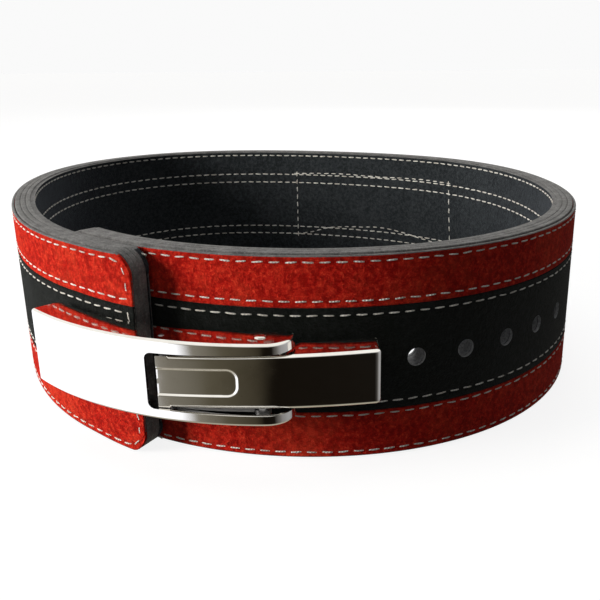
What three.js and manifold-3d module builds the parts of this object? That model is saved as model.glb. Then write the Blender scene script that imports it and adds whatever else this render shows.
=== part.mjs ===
// A weightlifting belt with a lever buckle, standing on its edge.
// A thick leather strap is bent once round and lapped at the front. Its outer face is covered by
// three bands of suede, its inner face by one lining. The buckle is a polished lever that turns on
// a base plate and pulls a hook plate, whose two prongs sit in two of the strap's punched holes.
// Units are millimetres, +Z is up, and the buckle faces -Y.

import * as THREE from 'three';
import { mergeVertices } from 'three/addons/utils/BufferGeometryUtils.js';
import Module from 'manifold-3d';

const wasm = await Module();
wasm.setup();

// Gaps between neighbouring pieces
const GAP = 0.3;

// Strap
const STRAP_WIDTH = 100;
const CORE_THICKNESS = 8.8;
const SUEDE_THICKNESS = 1.6;
const UPPER_BAND_WIDTH = 25;
const LOWER_BAND_WIDTH = 24;
const FLOOR_INSET = 0.8;
const END_CORNER = 12;
const STRAP_THICKNESS = CORE_THICKNESS + 2 * (SUEDE_THICKNESS + GAP);

// Loop seen from above: the mean radius of the outer face and how it leaves a circle
const LOOP_RADIUS = 184;
const LOOP_WAVES = [
  { lobes: 2, share: 0.085, direction: -52 },
  { lobes: 3, share: 0.032, direction: 22 },
  { lobes: 4, share: 0.016, direction: -46 },
];
const LAP_GAP = 0.5;
const LAP_START_ANGLE = 450;
const LAP_FULL_ANGLE = 555;
const END_LIFT = 2;
const END_LIFT_LENGTH = 40;

// Punched holes
const HOLE_DIAMETER = 9;
const HOLE_PITCH = 26.2;
const HOLE_COUNT = 10;
const HOLES_BEFORE_PRONGS = 3;
const HOLE_END_MARGIN = 58;
const BUCKLE_HEIGHT = 49;

// Buckle's place: the direction of the prongs from the loop's centre, and the outer flap's end
// measured back from the prongs along the strap
const PRONG_ANGLE = 278.6;
const FLAP_SETBACK = 87;

// Lever: a curved plate with bent back flanges and a fork
const PLATE_THICKNESS = 2.2;
const LEVER_HEIGHT = 38;
const LEVER_RAISE = 0.6;
const LEVER_BEND = 155;
const LEVER_SWEEP_ANGLE = 46.3;
const LEVER_DEPTH = 14;
const NOSE_RADIUS = 12;
const NOSE_END_ANGLE = 6;
const NOSE_AHEAD = 2.5;
const NOSE_ROOM = 3;
const FORK_GAP = 1.4;
const FORK_CORNER = 3;
const FORK_END_GAP = 3.7;

// Hook plate: a bowed plate with flanges, a rolled end and two prongs
const HOOK_HEIGHT = 25;
const HOOK_BOW = 300;
const HOOK_DEPTH = 8;
const HOOK_FACE = 19.2;
const HOOK_CENTRE = -24;
const HOOK_END_MARGIN = 7.4;
const CHANNEL_HEIGHT = 12.4;
const CHANNEL_DEPTH = 0.7;
const CHANNEL_LENGTH = 31.5;
const PRONG_DIAMETER = 5.2;
const PRONG_REACH = 6.5;
const PRONG_PULL = 0.6;

// Pivots, measured from the prongs' middle: along the strap and outwards
const LEVER_PIVOT = { along: -31, out: 14.6 };
const LINK_PIVOT = { along: -73, out: 11.6 };
const RIVET_DIAMETER = 4;
const RIVET_HEAD_DIAMETER = 5.6;
const RIVET_HEAD_THICKNESS = 0.9;
const RIVET_TAIL_THICKNESS = 0.6;
const PIN_DIAMETER = 3.6;
const KNUCKLE_WALL = 1.5;

// Base plate: a floor on the outer flap and two rails with ears for the lever's rivets
const BASE_THICKNESS = 1.6;
const BASE_LENGTH = 34;
const BASE_MARGIN = 4;
const RAIL_THICKNESS = 2.4;
const RAIL_GAP = 0.9;
const RAIL_DROP = 9.4;
const RAIL_HEIGHT = 3.8;
const NECK_LENGTH = 10;
const NECK_DROP = 0.9;
const EAR_RADIUS = 3.8;
const SCREW_DIAMETER = 8;
const SCREW_HEIGHT = 1.8;
const SCREW_PITCH = 18;

// Facets
const STATION_STEP = 15;
const ARC_STEP = 6;
const ROUND_SIDES = 18;
const CORNER_STEPS = 5;

const FULL_TURN = 360;
const rad = THREE.MathUtils.degToRad;

function smoothStep(share) {
  const t = THREE.MathUtils.clamp(share, 0, 1);
  return t * t * (3 - 2 * t);
}

// The loop without its lap: the outer face's distance from the centre in one direction
function loopRadius(degrees) {
  let factor = 1;
  for (const wave of LOOP_WAVES) {
    factor += wave.share * Math.cos(wave.lobes * rad(degrees - wave.direction));
  }
  return LOOP_RADIUS * factor;
}

// Angles run from the hole end, under the flap, once round and on to the flap's end
function runRadius(degrees, flapEnd) {
  const lap = smoothStep((degrees - LAP_START_ANGLE) / (LAP_FULL_ANGLE - LAP_START_ANGLE));
  const liftStart = flapEnd - THREE.MathUtils.radToDeg(END_LIFT_LENGTH / LOOP_RADIUS);
  const lift = END_LIFT * smoothStep((degrees - liftStart) / (flapEnd - liftStart));
  return loopRadius(degrees) + (STRAP_THICKNESS + LAP_GAP) * lap + lift;
}

function onLoop(degrees, radius) {
  return new THREE.Vector2(radius * Math.cos(rad(degrees)), radius * Math.sin(rad(degrees)));
}

// The angle reached after a length along the inner layer's outer face
function angleAfter(start, length) {
  const step = 0.25 * Math.sign(length);
  let angle = start;
  let left = Math.abs(length);
  let here = onLoop(angle, loopRadius(angle));
  while (left > 0) {
    const next = onLoop(angle + step, loopRadius(angle + step));
    const size = here.distanceTo(next);
    angle += step * Math.min(1, left / size);
    left -= size;
    here = next;
  }
  return angle;
}

const flapEnd = angleAfter(PRONG_ANGLE, -FLAP_SETBACK) + FULL_TURN;
const firstHole = -(HOLES_BEFORE_PRONGS + 0.5) * HOLE_PITCH;
const holeEnd = angleAfter(PRONG_ANGLE, firstHole - HOLE_END_MARGIN);
const holeAngles = [];
for (let i = 0; i < HOLE_COUNT; i += 1) {
  holeAngles.push(angleAfter(PRONG_ANGLE, firstHole + i * HOLE_PITCH));
}

// A point of the strap's run, its direction along the strap and its outward normal
function runFrame(degrees) {
  const nudge = 0.05;
  const point = onLoop(degrees, runRadius(degrees, flapEnd));
  const before = onLoop(degrees - nudge, runRadius(degrees - nudge, flapEnd));
  const after = onLoop(degrees + nudge, runRadius(degrees + nudge, flapEnd));
  const along = after.sub(before).normalize();
  const out = new THREE.Vector2(along.y, -along.x);
  return { point, along, out };
}

function runPoint(degrees, out) {
  const frame = runFrame(degrees);
  return frame.point.addScaledVector(frame.out, out);
}

// Closed solids go in and out of the boolean library here
function toSolid(geometry) {
  const bare = new THREE.BufferGeometry();
  bare.setAttribute('position', geometry.getAttribute('position'));
  if (geometry.index) {
    bare.setIndex(geometry.index);
  }
  const merged = mergeVertices(bare, 1e-4);
  return new wasm.Manifold(new wasm.Mesh({
    numProp: 3,
    vertProperties: Float32Array.from(merged.getAttribute('position').array),
    triVerts: Uint32Array.from(merged.index.array),
  }));
}

function toGeometry(solid) {
  const mesh = solid.getMesh();
  const geometry = new THREE.BufferGeometry();
  geometry.setAttribute('position', new THREE.BufferAttribute(mesh.vertProperties, 3));
  geometry.setIndex(new THREE.BufferAttribute(mesh.triVerts, 1));
  const flat = geometry.toNonIndexed();
  flat.computeVertexNormals();
  return flat;
}

function joined(solids) {
  return solids.reduce((sum, solid) => sum.add(solid));
}

function cut(solid, cutters) {
  return cutters.reduce((rest, cutter) => rest.subtract(cutter), solid);
}

// An upright prism over an outline seen from above
function prism(outline, low, high) {
  const geometry = new THREE.ExtrudeGeometry(new THREE.Shape(outline), {
    depth: high - low,
    bevelEnabled: false,
  });
  geometry.translate(0, 0, low);
  return toSolid(geometry);
}

function disc(centre, radius, low, high) {
  const outline = [];
  for (let i = 0; i < ROUND_SIDES; i += 1) {
    const turn = (2 * Math.PI * i) / ROUND_SIDES;
    const spoke = new THREE.Vector2(Math.cos(turn), Math.sin(turn)).multiplyScalar(radius);
    outline.push(spoke.add(centre));
  }
  return prism(outline, low, high);
}

// Strap pieces: a run of upright four-cornered sections between two depths and two heights.
// Both ends of the whole strap have rounded corners, which lower and raise the sections there.
function cornerDrop(fromEnd) {
  const left = Math.max(0, END_CORNER - fromEnd);
  return END_CORNER - Math.sqrt(END_CORNER ** 2 - left ** 2);
}

function stationAngles(from, to) {
  const perDegree = rad(1) * LOOP_RADIUS;
  const angles = [];
  const bodyStart = from + END_CORNER / perDegree;
  const bodyEnd = to - END_CORNER / perDegree;
  for (let i = 0; i < CORNER_STEPS; i += 1) {
    const share = 1 - Math.cos((i / CORNER_STEPS) * (Math.PI / 2));
    angles.push(from + (share * END_CORNER) / perDegree);
  }
  const count = Math.ceil(((bodyEnd - bodyStart) * perDegree) / STATION_STEP);
  for (let i = 0; i <= count; i += 1) {
    angles.push(bodyStart + ((bodyEnd - bodyStart) * i) / count);
  }
  for (let i = CORNER_STEPS - 1; i >= 0; i -= 1) {
    const share = 1 - Math.cos((i / CORNER_STEPS) * (Math.PI / 2));
    angles.push(to - (share * END_CORNER) / perDegree);
  }
  return angles;
}

function strapSolid({ inner, outer, low, high, from = holeEnd, to = flapEnd }) {
  const perDegree = rad(1) * LOOP_RADIUS;
  const positions = [];
  const triangles = [];
  const angles = stationAngles(from, to);
  angles.forEach((angle) => {
    const drop = cornerDrop(Math.min(angle - holeEnd, flapEnd - angle) * perDegree);
    const bottom = Math.max(low, drop);
    const top = Math.min(high, STRAP_WIDTH - drop);
    const inside = runPoint(angle, -inner);
    const outside = runPoint(angle, -outer);
    positions.push(inside.x, inside.y, bottom, outside.x, outside.y, bottom);
    positions.push(outside.x, outside.y, top, inside.x, inside.y, top);
  });
  for (let i = 0; i + 1 < angles.length; i += 1) {
    for (let side = 0; side < 4; side += 1) {
      const a = 4 * i + side;
      const b = 4 * i + ((side + 1) % 4);
      triangles.push(a, b + 4, b, a, a + 4, b + 4);
    }
  }
  const last = 4 * (angles.length - 1);
  triangles.push(0, 1, 2, 0, 2, 3);
  triangles.push(last, last + 2, last + 1, last, last + 3, last + 2);
  const geometry = new THREE.BufferGeometry();
  geometry.setAttribute('position', new THREE.Float32BufferAttribute(positions, 3));
  geometry.setIndex(triangles);
  return toSolid(geometry);
}

// A punch through the inner layer, from its outer face to its inner face
function holePunch(degrees) {
  const reach = STRAP_THICKNESS + 1;
  const proud = LAP_GAP / 2;
  const { point, out } = runFrame(degrees);
  const punch = new THREE.CylinderGeometry(HOLE_DIAMETER / 2, HOLE_DIAMETER / 2, reach, ROUND_SIDES);
  punch.rotateX(Math.PI / 2);
  punch.applyMatrix4(new THREE.Matrix4().makeBasis(
    new THREE.Vector3(-out.y, out.x, 0),
    new THREE.Vector3(0, 0, 1),
    new THREE.Vector3(out.x, out.y, 0),
  ));
  const centre = point.addScaledVector(out, proud - reach / 2);
  punch.translate(centre.x, centre.y, BUCKLE_HEIGHT);
  return toSolid(punch);
}

// The buckle's own frame: along the strap, up, and outwards from the prongs' middle
const seat = runFrame(PRONG_ANGLE);

function atBuckle(along, out) {
  return seat.point.clone().addScaledVector(seat.along, along).addScaledVector(seat.out, out);
}

// A cutter or prong whose axis points outwards
function outwards(geometry, along, out) {
  geometry.applyMatrix4(new THREE.Matrix4().makeBasis(
    new THREE.Vector3(seat.along.x, seat.along.y, 0),
    new THREE.Vector3(0, 0, 1),
    new THREE.Vector3(seat.out.x, seat.out.y, 0),
  ));
  const centre = atBuckle(along, out);
  geometry.translate(centre.x, centre.y, BUCKLE_HEIGHT);
  return toSolid(geometry);
}

function arcPoints(centre, radius, fromDegrees, toDegrees) {
  const points = [];
  const steps = Math.max(2, Math.ceil((rad(Math.abs(toDegrees - fromDegrees)) * radius) / ARC_STEP));
  for (let i = 0; i <= steps; i += 1) {
    const turn = rad(fromDegrees + ((toDegrees - fromDegrees) * i) / steps);
    const along = centre.along + radius * Math.cos(turn);
    const out = centre.out + radius * Math.sin(turn);
    points.push(atBuckle(along, out));
  }
  return points;
}

// Lever: the bend's centre lies straight behind the nose, so the arms run level with the strap
const noseTop = LEVER_PIVOT.out + PLATE_THICKNESS + EAR_RADIUS + NOSE_ROOM;
const leverCentre = { along: LEVER_PIVOT.along + NOSE_AHEAD, out: noseTop - LEVER_BEND };
const noseCentre = { along: leverCentre.along, out: noseTop - NOSE_RADIUS };
const TIP_ANGLE = 90 + LEVER_SWEEP_ANGLE;
const leverMiddle = BUCKLE_HEIGHT + LEVER_RAISE;
const leverLow = leverMiddle - LEVER_HEIGHT / 2;
const leverHigh = leverMiddle + LEVER_HEIGHT / 2;

function leverFlange(low, high) {
  const noseEnd = atBuckle(noseCentre.along + NOSE_RADIUS, noseTop - LEVER_DEPTH);
  const outline = [
    ...arcPoints(leverCentre, LEVER_BEND, TIP_ANGLE, 90),
    ...arcPoints(noseCentre, NOSE_RADIUS, 90, 0).slice(1),
    noseEnd,
    ...arcPoints(leverCentre, LEVER_BEND - LEVER_DEPTH, 90, TIP_ANGLE),
  ];
  return prism(outline, low, high);
}

function leverFront() {
  const outline = [
    ...arcPoints(leverCentre, LEVER_BEND, TIP_ANGLE, 90),
    ...arcPoints(noseCentre, NOSE_RADIUS, 90, NOSE_END_ANGLE).slice(1),
    ...arcPoints(noseCentre, NOSE_RADIUS - PLATE_THICKNESS, NOSE_END_ANGLE, 90),
    ...arcPoints(leverCentre, LEVER_BEND - PLATE_THICKNESS, 90, TIP_ANGLE).slice(1),
  ];
  return prism(outline, leverLow, leverHigh);
}

function leverTip() {
  const thickness = THREE.MathUtils.radToDeg(PLATE_THICKNESS / LEVER_BEND);
  const outline = [
    ...arcPoints(leverCentre, LEVER_BEND, TIP_ANGLE, TIP_ANGLE - thickness),
    ...arcPoints(leverCentre, LEVER_BEND - LEVER_DEPTH, TIP_ANGLE - thickness, TIP_ANGLE),
  ];
  return prism(outline, leverLow, leverHigh);
}

// The fork's opening is a rounded slot, open past the nose
function forkSlot() {
  const half = HOOK_HEIGHT / 2 + FORK_GAP;
  const closed = LINK_PIVOT.along - knuckleRadius() - FORK_END_GAP;
  const open = LEVER_PIVOT.along + 2 * NOSE_RADIUS;
  const shape = new THREE.Shape();
  const low = LEVER_RAISE - half;
  const high = LEVER_RAISE + half;
  const round = closed + FORK_CORNER;
  shape.moveTo(open, low);
  shape.lineTo(open, high);
  shape.lineTo(round, high);
  shape.absarc(round, high - FORK_CORNER, FORK_CORNER, Math.PI / 2, Math.PI, false);
  shape.absarc(round, low + FORK_CORNER, FORK_CORNER, Math.PI, 1.5 * Math.PI, false);
  const depth = 4 * LEVER_DEPTH;
  const slot = new THREE.ExtrudeGeometry(shape, { depth, bevelEnabled: false, curveSegments: 4 });
  return outwards(slot, 0, -LEVER_DEPTH);
}

function throughHole(pivot, diameter) {
  const centre = atBuckle(pivot.along, pivot.out);
  return disc(centre, diameter / 2 + GAP, leverLow - 1, leverHigh + 1);
}

function leverSolid() {
  const whole = joined([
    leverFront(),
    leverTip(),
    leverFlange(leverLow, leverLow + PLATE_THICKNESS),
    leverFlange(leverHigh - PLATE_THICKNESS, leverHigh),
  ]);
  return cut(whole, [
    forkSlot(),
    throughHole(LEVER_PIVOT, RIVET_DIAMETER),
    throughHole(LINK_PIVOT, PIN_DIAMETER),
  ]);
}

// Hook plate
function knuckleRadius() {
  return PIN_DIAMETER / 2 + GAP + KNUCKLE_WALL;
}

const hookCentre = { along: HOOK_CENTRE, out: HOOK_FACE - HOOK_BOW };
const hookRight = HOLE_PITCH / 2 + HOOK_END_MARGIN;
const hookLeft = LINK_PIVOT.along - knuckleRadius() + 2 * GAP;
const hookLow = BUCKLE_HEIGHT - HOOK_HEIGHT / 2;
const hookHigh = BUCKLE_HEIGHT + HOOK_HEIGHT / 2;

function hookBand(left, right, shallow, deep, low, high) {
  const turnOf = (along) => THREE.MathUtils.radToDeg(Math.acos((along - HOOK_CENTRE) / HOOK_BOW));
  const outline = [
    ...arcPoints(hookCentre, HOOK_BOW - shallow, turnOf(left), turnOf(right)),
    ...arcPoints(hookCentre, HOOK_BOW - deep, turnOf(right), turnOf(left)),
  ];
  return prism(outline, low, high);
}

function prong(along) {
  const radius = PRONG_DIAMETER / 2;
  const root = HOOK_FACE - HOOK_BOW + Math.sqrt(HOOK_BOW ** 2 - (along - HOOK_CENTRE) ** 2);
  const length = root - PLATE_THICKNESS / 2 + PRONG_REACH;
  const profile = [new THREE.Vector2(0, 0)];
  for (let i = 1; i <= CORNER_STEPS; i += 1) {
    const turn = ((i / CORNER_STEPS) * Math.PI) / 2;
    profile.push(new THREE.Vector2(radius * Math.sin(turn), (radius / 2) * (1 - Math.cos(turn))));
  }
  profile.push(new THREE.Vector2(radius, length));
  profile.push(new THREE.Vector2(0, length));
  const geometry = new THREE.LatheGeometry(profile, ROUND_SIDES);
  geometry.rotateX(Math.PI / 2);
  return outwards(geometry, along, -PRONG_REACH);
}

function hookSolid() {
  const knuckle = disc(
    atBuckle(LINK_PIVOT.along, LINK_PIVOT.out),
    knuckleRadius(),
    BUCKLE_HEIGHT - CHANNEL_HEIGHT / 2,
    BUCKLE_HEIGHT + CHANNEL_HEIGHT / 2,
  );
  const flangeLeft = LINK_PIVOT.along + HOOK_DEPTH;
  const whole = joined([
    hookBand(hookLeft, hookRight, 0, PLATE_THICKNESS, hookLow, hookHigh),
    hookBand(flangeLeft, hookRight, 0, HOOK_DEPTH, hookLow, hookLow + PLATE_THICKNESS),
    hookBand(flangeLeft, hookRight, 0, HOOK_DEPTH, hookHigh - PLATE_THICKNESS, hookHigh),
    hookBand(hookRight - PLATE_THICKNESS, hookRight, 0, HOOK_DEPTH, hookLow, hookHigh),
    knuckle,
    prong(-HOLE_PITCH / 2 - PRONG_PULL),
    prong(HOLE_PITCH / 2 - PRONG_PULL),
  ]);
  const channel = hookBand(
    hookLeft - 3 * GAP,
    LINK_PIVOT.along + CHANNEL_LENGTH,
    -1,
    CHANNEL_DEPTH,
    BUCKLE_HEIGHT - CHANNEL_HEIGHT / 2,
    BUCKLE_HEIGHT + CHANNEL_HEIGHT / 2,
  );
  return cut(whole, [channel, throughHole(LINK_PIVOT, PIN_DIAMETER)]);
}

// Base plate
const railOuter = HOOK_HEIGHT / 2 + RAIL_GAP + RAIL_THICKNESS;
const floorFrom = angleAfter(flapEnd - FULL_TURN, -(BASE_MARGIN + BASE_LENGTH)) + FULL_TURN;
const floorTo = angleAfter(flapEnd - FULL_TURN, -BASE_MARGIN) + FULL_TURN;

function baseFloor() {
  const outline = [];
  const steps = Math.ceil(BASE_LENGTH / ARC_STEP);
  for (let i = 0; i <= steps; i += 1) {
    outline.push(runPoint(floorFrom + ((floorTo - floorFrom) * i) / steps, GAP));
  }
  for (let i = steps; i >= 0; i -= 1) {
    outline.push(runPoint(floorFrom + ((floorTo - floorFrom) * i) / steps, GAP + BASE_THICKNESS));
  }
  return prism(outline, BUCKLE_HEIGHT - railOuter, BUCKLE_HEIGHT + railOuter);
}

function railOutline() {
  const top = LEVER_BEND - RAIL_DROP;
  const bottom = top - RAIL_HEIGHT;
  const turnOf = (along) => {
    return THREE.MathUtils.radToDeg(Math.acos((along - leverCentre.along) / bottom));
  };
  const left = turnOf(-FLAP_SETBACK - BASE_LENGTH + BASE_MARGIN);
  const overStrap = turnOf(-FLAP_SETBACK);
  const neck = turnOf(LEVER_PIVOT.along - NECK_LENGTH);
  const onFloor = [];
  const steps = Math.ceil(BASE_LENGTH / ARC_STEP);
  for (let i = steps; i >= 0; i -= 1) {
    const angle = floorFrom + ((floorTo - floorFrom) * i) / steps;
    onFloor.push(runPoint(angle, GAP + BASE_THICKNESS / 2));
  }
  return [
    ...arcPoints(leverCentre, top, left, 90),
    atBuckle(LEVER_PIVOT.along, LEVER_PIVOT.out - NECK_DROP * EAR_RADIUS),
    ...arcPoints(leverCentre, bottom, neck, overStrap),
    ...onFloor,
  ];
}

function baseSolid() {
  const sides = [];
  for (const side of [-1, 1]) {
    const near = BUCKLE_HEIGHT + side * railOuter;
    const far = BUCKLE_HEIGHT + side * (railOuter - RAIL_THICKNESS);
    const low = Math.min(near, far);
    const high = Math.max(near, far);
    sides.push(prism(railOutline(), low, high));
    sides.push(disc(atBuckle(LEVER_PIVOT.along, LEVER_PIVOT.out), EAR_RADIUS, low, high));
  }
  return cut(joined([baseFloor(), ...sides]), [throughHole(LEVER_PIVOT, RIVET_DIAMETER)]);
}

function screwSolid(share) {
  const middle = (floorFrom + floorTo) / 2;
  const half = THREE.MathUtils.radToDeg(SCREW_PITCH / 2 / LOOP_RADIUS);
  const { point, out } = runFrame(middle + share * half);
  const head = new THREE.CylinderGeometry(
    0.8 * (SCREW_DIAMETER / 2),
    SCREW_DIAMETER / 2,
    SCREW_HEIGHT,
    ROUND_SIDES,
  );
  head.rotateX(Math.PI / 2);
  head.applyMatrix4(new THREE.Matrix4().makeBasis(
    new THREE.Vector3(-out.y, out.x, 0),
    new THREE.Vector3(0, 0, 1),
    new THREE.Vector3(out.x, out.y, 0),
  ));
  const centre = point.addScaledVector(out, 2 * GAP + BASE_THICKNESS + SCREW_HEIGHT / 2);
  head.translate(centre.x, centre.y, BUCKLE_HEIGHT);
  return toSolid(head);
}

// A stub rivet through one flange of the lever and one ear of the base plate
function rivetSolid(side) {
  const centre = atBuckle(LEVER_PIVOT.along, LEVER_PIVOT.out);
  const innerFace = railOuter - RAIL_THICKNESS - GAP;
  const outerFace = LEVER_HEIGHT / 2 + side * LEVER_RAISE + GAP;
  const slab = (radius, from, to) => {
    const a = BUCKLE_HEIGHT + side * from;
    const b = BUCKLE_HEIGHT + side * to;
    return disc(centre, radius, Math.min(a, b), Math.max(a, b));
  };
  return joined([
    slab(RIVET_DIAMETER / 2, innerFace - RIVET_TAIL_THICKNESS, outerFace + RIVET_HEAD_THICKNESS),
    slab(RIVET_HEAD_DIAMETER / 2, outerFace, outerFace + RIVET_HEAD_THICKNESS),
    slab(RIVET_HEAD_DIAMETER / 2, innerFace - RIVET_TAIL_THICKNESS, innerFace),
  ]);
}

function pinSolid() {
  return disc(atBuckle(LINK_PIVOT.along, LINK_PIVOT.out), PIN_DIAMETER / 2, leverLow, leverHigh);
}

// Strap pieces from the inside out
const liningOuter = STRAP_THICKNESS - SUEDE_THICKNESS;
const coreInner = liningOuter - GAP;
const coreOuter = SUEDE_THICKNESS + GAP;
const upperBandLow = STRAP_WIDTH - UPPER_BAND_WIDTH;
const punches = holeAngles.map(holePunch);

function strapPieces() {
  const facing = { inner: SUEDE_THICKNESS, outer: 0 };
  return {
    leather_core: cut(
      strapSolid({ inner: coreInner, outer: coreOuter, low: 0, high: STRAP_WIDTH }),
      punches,
    ),
    upper_red_band: strapSolid({
      ...facing,
      low: upperBandLow + GAP / 2,
      high: STRAP_WIDTH - FLOOR_INSET,
    }),
    centre_black_band: cut(
      strapSolid({ ...facing, low: LOWER_BAND_WIDTH + GAP / 2, high: upperBandLow - GAP / 2 }),
      punches,
    ),
    lower_red_band: strapSolid({
      ...facing,
      low: FLOOR_INSET,
      high: LOWER_BAND_WIDTH - GAP / 2,
    }),
    inner_lining: cut(
      strapSolid({
        inner: STRAP_THICKNESS,
        outer: liningOuter,
        low: FLOOR_INSET,
        high: STRAP_WIDTH - FLOOR_INSET,
      }),
      punches,
    ),
  };
}

function finish(color, roughness, metalness) {
  return new THREE.MeshStandardMaterial({ color, roughness, metalness });
}

const leather = finish(0x4a4744, 0.7, 0);
const redSuede = finish(0xb01d10, 0.95, 0);
const blackSuede = finish(0x121214, 0.95, 0);
const chrome = finish(0xc9c4b8, 0.1, 1);
const steel = finish(0x6e6f72, 0.4, 1);

const strap = strapPieces();
const pieces = [
  ['leather_core', strap.leather_core, leather],
  ['upper_red_band', strap.upper_red_band, redSuede],
  ['centre_black_band', strap.centre_black_band, blackSuede],
  ['lower_red_band', strap.lower_red_band, redSuede],
  ['inner_lining', strap.inner_lining, blackSuede],
  ['base_plate', baseSolid(), steel],
  ['base_screw_1', screwSolid(-1), steel],
  ['base_screw_2', screwSolid(1), steel],
  ['pivot_rivet_upper', rivetSolid(1), chrome],
  ['pivot_rivet_lower', rivetSolid(-1), chrome],
  ['lever', leverSolid(), chrome],
  ['link_pin', pinSolid(), steel],
  ['hook_plate', hookSolid(), chrome],
];

const belt = new THREE.Group();
for (const [name, solid, material] of pieces) {
  const mesh = new THREE.Mesh(toGeometry(solid), material);
  mesh.name = name;
  belt.add(mesh);
}

// The origin is the middle of the footprint
const box = new THREE.Box3().setFromObject(belt);
const middle = box.getCenter(new THREE.Vector3());
belt.position.set(-middle.x, -middle.y, 0);

export default belt;
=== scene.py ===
# A weightlifting belt of thick leather with a polished lever buckle, standing on its lower edge.
# First the camera and the room, then the pieces: leather, suede, sewing, lever, hook plate,
# prongs, link pin, base plate, rivets and screws. Lengths are in millimetres until a mesh is
# made, which is in metres.

import math

import bmesh
import bpy
import numpy as np
from mathutils import Matrix, Vector


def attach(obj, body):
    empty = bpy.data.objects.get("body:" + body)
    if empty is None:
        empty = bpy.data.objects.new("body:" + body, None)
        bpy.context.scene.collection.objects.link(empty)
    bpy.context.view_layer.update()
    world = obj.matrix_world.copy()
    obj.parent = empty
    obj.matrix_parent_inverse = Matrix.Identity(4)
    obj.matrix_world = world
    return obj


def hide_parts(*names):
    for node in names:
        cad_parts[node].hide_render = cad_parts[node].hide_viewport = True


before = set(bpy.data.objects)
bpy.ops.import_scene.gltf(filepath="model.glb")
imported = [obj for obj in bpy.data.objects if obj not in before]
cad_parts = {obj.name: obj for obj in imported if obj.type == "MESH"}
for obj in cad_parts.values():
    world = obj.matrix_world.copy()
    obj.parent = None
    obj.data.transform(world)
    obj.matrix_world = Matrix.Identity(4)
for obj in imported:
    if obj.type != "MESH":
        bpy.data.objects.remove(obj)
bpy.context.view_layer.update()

MM = 0.001


# The camera stands close in front of the buckle and looks down over the upper edge.
# Its place, turn and lens were found from the belt's outline and its punched holes.
loop_centre = Vector((6.120, 15.411))
camera_place = Vector((31.674 + loop_centre.x, -480.544 + loop_centre.y, 179.226))
camera_pitch = math.radians(16.404)
camera_roll = math.radians(-0.412)
picture_size = 600
focal_pixels = 695.488

camera_data = bpy.data.cameras.new("camera")
camera_data.sensor_width = 36
camera_data.lens = focal_pixels * camera_data.sensor_width / picture_size
camera_data.shift_x = -38.05 / picture_size
camera_data.shift_y = -32.88 / picture_size
camera_data.clip_start = 0.01
camera_data.clip_end = 50
camera = bpy.data.objects.new("camera", camera_data)
bpy.context.scene.collection.objects.link(camera)
bpy.context.scene.camera = camera
looking = Vector((0, math.cos(camera_pitch), -math.sin(camera_pitch)))
level = Vector((1, 0, 0))
upright = level.cross(looking)
sideways = math.cos(camera_roll) * level + math.sin(camera_roll) * upright
upwards = math.cos(camera_roll) * upright - math.sin(camera_roll) * level
camera.matrix_world = Matrix.Translation(camera_place * MM) @ Matrix(
    (sideways, upwards, -looking)
).transposed().to_4x4()


# The room: a wide pale floor, a window light from the front left, a soft wide one from above
# and one from behind. Mirrors see a studio of their own in place of the floor and the lights.
class Wire:
    """An output of a node. Arithmetic on it adds Math nodes to the same tree."""

    def __init__(self, tree, socket):
        self.tree = tree
        self.socket = socket

    def maths(self, operation, first, second=0.0):
        return node(self.tree, "ShaderNodeMath", {"operation": operation}, {0: first, 1: second})

    def __add__(self, other):
        return self.maths("ADD", self, other)

    def __radd__(self, other):
        return self.maths("ADD", other, self)

    def __sub__(self, other):
        return self.maths("SUBTRACT", self, other)

    def __rsub__(self, other):
        return self.maths("SUBTRACT", other, self)

    def __mul__(self, other):
        return self.maths("MULTIPLY", self, other)

    def __rmul__(self, other):
        return self.maths("MULTIPLY", other, self)

    def __truediv__(self, other):
        return self.maths("DIVIDE", self, other)


def node(tree, kind, settings=None, sockets=None, output=0):
    """Adds a node: first its settings, then the numbers or wires of its sockets."""
    made = tree.nodes.new(kind)
    for key, value in (settings or {}).items():
        if key == "stops":
            ramp = made.color_ramp
            while len(ramp.elements) < len(value):
                ramp.elements.new(0.5)
            for element, (position, colour) in zip(ramp.elements, value):
                element.position = position
                element.color = (*colour, 1)
        else:
            setattr(made, key, value)
    for key, value in (sockets or {}).items():
        if isinstance(key, str):
            target = next(s for s in made.inputs if s.name == key and s.enabled)
        else:
            target = made.inputs[key]
        if isinstance(value, Wire):
            tree.links.new(value.socket, target)
        else:
            target.default_value = value
    if not made.outputs:
        return None
    shown = made.outputs[output]
    if not shown.enabled:
        shown = next(s for s in made.outputs if s.enabled)
    return Wire(tree, shown)


def new_material(name):
    material = bpy.data.materials.new(name)
    material.use_nodes = True
    material.node_tree.nodes.clear()
    return material


def paint(material, sockets):
    """The material's surface: one shader with the given numbers and wires."""
    shader = node(material.node_tree, "ShaderNodeBsdfPrincipled", None, sockets)
    node(material.node_tree, "ShaderNodeOutputMaterial", None, {"Surface": shader})


def between(value, low, high):
    """A soft step from 0 at the low value to 1 at the high one."""
    return node(
        value.tree,
        "ShaderNodeMapRange",
        {"interpolation_type": "SMOOTHSTEP"},
        {"Value": value, "From Min": low, "From Max": high},
    )


def mix_colours(share, first, second):
    sockets = {0: share, 6: first, 7: second}
    return node(share.tree, "ShaderNodeMix", {"data_type": "RGBA"}, sockets, output=2)


def new_object(name, vertices, faces):
    """A mesh object at the origin, from points in millimetres."""
    mesh = bpy.data.meshes.new(name)
    mesh.from_pydata((np.asarray(vertices, float) * MM).tolist(), [], faces)
    mesh.validate()
    made = bpy.data.objects.new(name, mesh)
    bpy.context.scene.collection.objects.link(made)
    return made


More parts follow.
